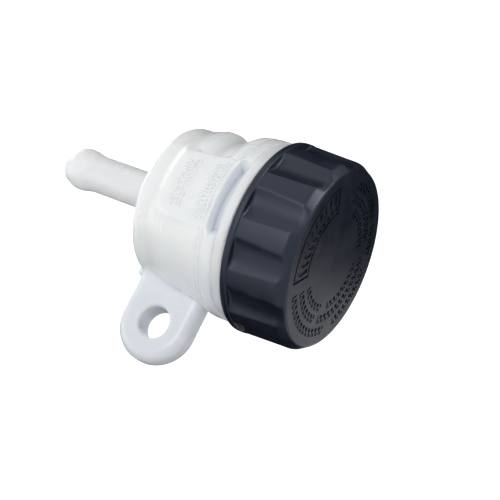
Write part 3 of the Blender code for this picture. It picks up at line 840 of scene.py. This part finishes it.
def grip_tree():
    """Geometry Nodes: hollow the grips out of a round cap, with softly rounded ridges."""
    tree, given, out = new_group("Hollow grips", "GeometryNodeTree", [
        ("Cap", "Geometry", None), ("Grips", "Float", 12.0), ("Floor radius", "Float", 0.018),
        ("Hollow radius", "Float", 0.0054), ("Softness", "Float", 0.0004),
        ("Finish", "Material", None)], [("Cap", "Geometry")])

    place = add_node(tree, "GeometryNodeInputPosition")
    axes = add_node(tree, "ShaderNodeSeparateXYZ", {0: place.outputs[0]}).outputs
    level = add_node(tree, "ShaderNodeCombineXYZ", {0: axes["X"], 1: axes["Y"]})
    radius = add_node(tree, "ShaderNodeVectorMath", {0: level.outputs[0]},
                      operation="LENGTH").outputs["Value"]
    angle = number(tree, "ARCTAN2", axes["Y"], axes["X"])
    half_pitch = number(tree, "DIVIDE", pi, given["Grips"])
    local = number(tree, "WRAP", angle, half_pitch, number(tree, "MULTIPLY", half_pitch, -1.0))
    centre = number(tree, "ADD", given["Floor radius"], given["Hollow radius"])
    across = number(tree, "MULTIPLY", centre, number(tree, "SINE", local))
    along = number(tree, "MULTIPLY", centre, number(tree, "COSINE", local))
    bow = number(tree, "SUBTRACT", number(tree, "POWER", given["Hollow radius"], 2.0),
                 number(tree, "POWER", across, 2.0))
    bow = number(tree, "SQRT", number(tree, "MAXIMUM", bow, 0.0))
    fillet = add_node(tree, "GeometryNodeInputNamedAttribute", {"Name": "grip_fillet"},
                      data_type="FLOAT").outputs[0]
    hollow = number(tree, "ADD", number(tree, "SUBTRACT", along, bow), fillet)
    cut = number(tree, "SMOOTH_MIN", radius, hollow, given["Softness"])
    share = add_node(tree, "GeometryNodeInputNamedAttribute", {"Name": "grip_share"},
                     data_type="FLOAT").outputs[0]
    taken = number(tree, "SUBTRACT", cut, radius)
    taken = number(tree, "DIVIDE", taken, number(tree, "MAXIMUM", radius, 1e-6))
    offset = add_node(tree, "ShaderNodeVectorMath", {
        0: level.outputs[0], "Scale": number(tree, "MULTIPLY", share, taken)}, operation="SCALE")
    set_place = add_node(tree, "GeometryNodeSetPosition", {"Geometry": given["Cap"],
                                                           "Offset": offset.outputs[0]})
    solid = add_node(tree, "GeometryNodeRealizeInstances", {0: set_place.outputs[0]})
    dressed = add_node(tree, "GeometryNodeSetMaterial", {0: solid.outputs[0],
                                                         "Material": given["Finish"]})
    tree.links.new(dressed.outputs[0], out.inputs[0])
    return tree


def face_marks(finish):
    """Tools for the sunk marks: a curved frame, its chevrons, and three rows of small blocks."""
    depth, over, line = 0.00025, 0.0005, 0.00042
    inner, outer = 0.0103, 0.0157
    start, sweep, margin = radians(229.7), radians(80), radians(6)
    tools = []
    for label, low in (("outer", outer - line), ("inner", inner)):
        corners = [(low, -depth), (low + line, -depth), (low + line, over), (low, over)]
        tools.append(bent_bar(f"frame_{label}", corners, start, sweep, 48))
    corners = [(inner, -depth), (outer, -depth), (outer, over), (inner, over)]
    post = bent_bar("frame_post", corners, -line / inner / 2, line / inner)
    tools.append(marks_round("frame_posts", post, 2, start, sweep, finish))
    middle, wing, lead, thick, chevrons = 0.0130, 0.0018, 0.00075, 0.0009, 10
    chevron = prism("chevron", [
        (middle - wing, -lead), (middle, lead - thick), (middle + wing, -lead),
        (middle + wing, thick - lead), (middle, lead), (middle - wing, thick - lead)],
        -depth, over)
    tools.append(marks_round("chevrons", chevron, chevrons, start + margin, sweep - 2 * margin,
                             finish))
    spacing = 0.00152
    rows = ((0.01393, 0.01562, ((321.43, 13), (412.37, 9), (477.61, 14))),
            (0.01128, 0.01297, ((324.83, 7), (383.17, 13), (491.41, 10))),
            (0.00893, 0.01042, ((328.57, 6), (397.93, 8), (489.71, 7))))
    for near, far, runs in rows:
        pitch = spacing / (near + far) * 2
        half = (near + far) / 2
        blocks = ((near, far, 0.00036, 0.0), (half + 0.0002, far, 0.00044, 0.38),
                  (near, half - 0.0001, 0.00050, 0.68))
        for low, high, width, share in blocks:
            for first, count in runs:
                block = prism("block", [(low, -width / 2), (high, -width / 2), (high, width / 2),
                                        (low, width / 2)], -depth, over)
                tools.append(marks_round("blocks", block, count, radians(first) + pitch * share,
                                         pitch * (count - 1), finish))
    return tools


def black_finish():
    """Black polypropylene with a satin grain, slightly uneven in tone."""
    finish, tree, shader = new_material("black_moulding")
    look = skin_node(tree, grain_size=0.00028, flow_size=0.005, flow_share=0.4)
    tint = add_node(tree, "ShaderNodeMix", {
        "Factor": spread(tree, look["Tone"], 0.0, 1.0), "A": (0.007, 0.0095, 0.018, 1.0),
        "B": (0.011, 0.0145, 0.026, 1.0)}, data_type="RGBA")
    tree.links.new(tint.outputs["Result"], shader.inputs["Base Color"])
    tree.links.new(spread(tree, look["Tone"], 0.32, 0.43), shader.inputs["Roughness"])
    bump = add_node(tree, "ShaderNodeBump", {
        "Height": look["Height"], "Strength": 0.4, "Distance": 0.0001}).outputs[0]
    tree.links.new(bump, shader.inputs["Normal"])
    shader.inputs["Specular IOR Level"].default_value = 0.40
    shader.inputs["Specular Tint"].default_value = (0.74, 0.82, 1.0, 1.0)
    return finish


black = black_finish()
cap = grow(cap_blank(), grip_tree(), grips=float(grip_count), floor_radius=grip_floor,
           hollow_radius=grip_hollow, softness=0.0005, finish=black)
plain_mesh(cap)
# It lies half a lead above the neck's thread, and starts this share of a turn further on.
turns_on = 0.27
cap_thread = grow(empty_mesh("cap_thread"), thread, root_radius=cap_bore,
                  crest_radius=cap_bore - 0.0006, lead=thread_lead, turns=2.0,
                  start_height=thread_start_z + thread_lead * (0.5 + turns_on),
                  start_angle=thread_start_angle + tau * turns_on, root_width=0.0014,
                  crest_width=0.0006, finish=black)
plain_mesh(cap_thread)
join_shapes(cap, [cap_thread], "UNION")
join_shapes(cap, face_marks(black), "DIFFERENCE")
cap.name = "screw_cap"
cap.data.materials.clear()
cap.data.materials.append(black)
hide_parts("cap")
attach(cap, "cap")

# Studio
# A pale floor well below the object and soft lamps round it, and the camera stands where the
# photograph was taken from: the reservoir lies over to its left there.
camera_lens = bpy.data.cameras.new("camera")
camera_lens.lens = 85.76
camera_lens.sensor_width = 36.0
camera = bpy.data.objects.new("camera", camera_lens)
bpy.context.collection.objects.link(camera)
camera.location = (0.05093, -0.20322, 0.08901)
camera.rotation_euler = [radians(turn) for turn in (-34.458, -56.5725, 142.4274)]
bpy.context.scene.camera = camera

floor_mesh = bpy.data.meshes.new("studio_floor")
floor_z = -0.30
floor_half = 3.0
floor_mesh.from_pydata([(-floor_half, -floor_half, floor_z), (floor_half, -floor_half, floor_z),
                        (floor_half, floor_half, floor_z), (-floor_half, floor_half, floor_z)],
                       [], [(0, 1, 2, 3)])
floor = bpy.data.objects.new("studio_floor", floor_mesh)
bpy.context.collection.objects.link(floor)


def seen_directly(tree):
    """1 for rays from the camera, mirrored or passed through clear pieces, else 0."""
    ray = add_node(tree, "ShaderNodeLightPath").outputs
    mirrored = number(tree, "MAXIMUM", ray["Is Glossy Ray"], ray["Is Transmission Ray"])
    return number(tree, "MAXIMUM", ray["Is Camera Ray"], mirrored)


def floor_finish():
    """White floor: mostly its own even white to the camera, and it keeps a soft shadow."""
    finish, tree, shader = new_material("studio_white")
    shader.inputs["Base Color"].default_value = (0.8, 0.8, 0.8, 1.0)
    shader.inputs["Roughness"].default_value = 0.9
    shader.inputs["Emission Color"].default_value = (1.0, 1.0, 1.0, 1.0)
    tree.links.new(number(tree, "MULTIPLY", seen_directly(tree), 0.85),
                   shader.inputs["Emission Strength"])
    return finish


floor_mesh.materials.append(floor_finish())

world = bpy.data.worlds.new("studio")
bpy.context.scene.world = world
world.use_nodes = True
sky = world.node_tree
ambient = 0.565
backdrop = sky.nodes["Background"]
backdrop.inputs["Color"].default_value = (1.0, 1.0, 1.0, 1.0)
strength = add_node(sky, "ShaderNodeMapRange", {
    "Value": seen_directly(sky), "To Min": ambient, "To Max": 1.0}).outputs[0]
sky.links.new(strength, backdrop.inputs["Strength"])


def dark_card(name, place, aim, half):
    """Dark card that only mirrored light meets, so that a face darkens where it mirrors it."""
    card_mesh = bpy.data.meshes.new(name)
    card_mesh.from_pydata([(-half, -half, 0.0), (half, -half, 0.0), (half, half, 0.0),
                           (-half, half, 0.0)], [], [(0, 1, 2, 3)])
    finish, _, shader = new_material(name)
    shader.inputs["Base Color"].default_value = (0.01, 0.01, 0.012, 1.0)
    shader.inputs["Roughness"].default_value = 1.0
    shader.inputs["Specular IOR Level"].default_value = 0.0
    card_mesh.materials.append(finish)
    card = bpy.data.objects.new(name, card_mesh)
    bpy.context.collection.objects.link(card)
    card.location = place
    card.rotation_euler = (Vector(aim) - card.location).to_track_quat("Z", "Y").to_euler()
    card.visible_camera = False
    card.visible_diffuse = False
    card.visible_shadow = False
    card.visible_transmission = False
    return card


dark_card("far_card", (-0.056, 0.055, 0.024), (0.0, 0.0, 0.0), 0.055)
dark_card("low_card", (0.085, 0.060, -0.055), (0.0, 0.0, -0.01), 0.12)
dark_card("high_card", (-0.104, 0.031, -0.061), (0.0, 0.0, -0.01), 0.07)


def lamp(name, place, size, watts):
    """Square white lamp that faces the middle of the reservoir."""
    light = bpy.data.lights.new(name, "AREA")
    light.size = size
    light.energy = watts
    made = bpy.data.objects.new(name, light)
    bpy.context.collection.objects.link(made)
    made.visible_camera = False
    made.location = place
    aim = Vector((0.0, 0.0, (cad_box[0][2] + cad_box[1][2]) / 2)) - made.location
    made.rotation_euler = aim.to_track_quat("-Z", "Y").to_euler()
    return made


lamp("key_lamp", (0.004, -0.20, -0.029), 0.12, 0.14)
lamp("nipple_lamp", (0.087, -0.067, -0.195), 0.12, 0.05)
lamp("back_lamp", (-0.093, 0.024, -0.259), 0.15, 0.09)

# This one only draws the bright line along the cap's rounded edge.
edge_lamp = lamp("edge_lamp", (-0.145, -0.092, 0.124), 0.06, 0.24)
edge_lamp.visible_diffuse = False

bpy.context.scene.view_settings.view_transform = "Standard"
